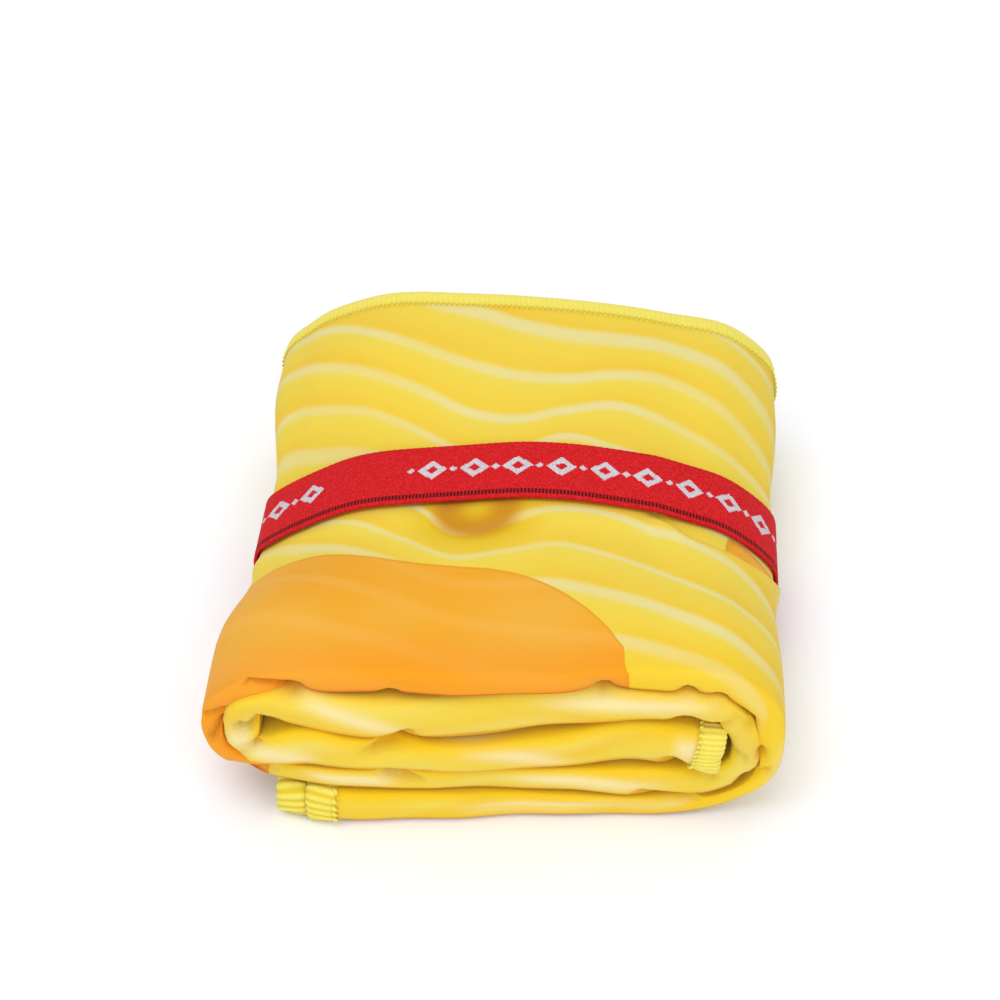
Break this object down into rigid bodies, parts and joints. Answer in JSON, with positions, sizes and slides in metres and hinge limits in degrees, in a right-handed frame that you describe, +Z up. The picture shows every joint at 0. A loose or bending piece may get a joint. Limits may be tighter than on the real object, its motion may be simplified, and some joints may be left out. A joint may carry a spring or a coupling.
{
  "type": "rolled microfibre towel",
  "caption": "Folded, flat-rolled microfibre towel with overlocked edges, held by a removable woven elastic band.",
  "frame": {"origin": "middle of the package's footprint, on the surface that it lies on", "axes": "+Z up through the five rolled layers, +Y along the roll towards the overlocked long edges, +X across the package to the right, with the rounded folds facing -Y"},
  "size_m": [0.164, 0.168, 0.06],
  "materials": {
    "printed_microfibre": "soft matt brushed microfibre, printed yellow with pale ripples and an orange area",
    "overlock_thread": "matt yellow polyester thread",
    "woven_elastic": "woven red elastic webbing with a white woven pattern and ribbed edges",
    "seam_thread": "matt red polyester thread"
  },
  "bodies": {
    "towel": {"rolled_towel": "printed_microfibre", "outer_end_edging": "overlock_thread", "inner_end_edging": "overlock_thread", "first_long_edging": "overlock_thread", "second_long_edging": "overlock_thread"},
    "band": {"elastic_band": "woven_elastic", "band_seam_stitching": "seam_thread"}
  },
  "joints": [
    {"name": "band_slide", "type": "slide", "parent": "towel", "child": "band", "axis": [0, 1, 0], "range_m": [0, 0.105]}
  ]
}
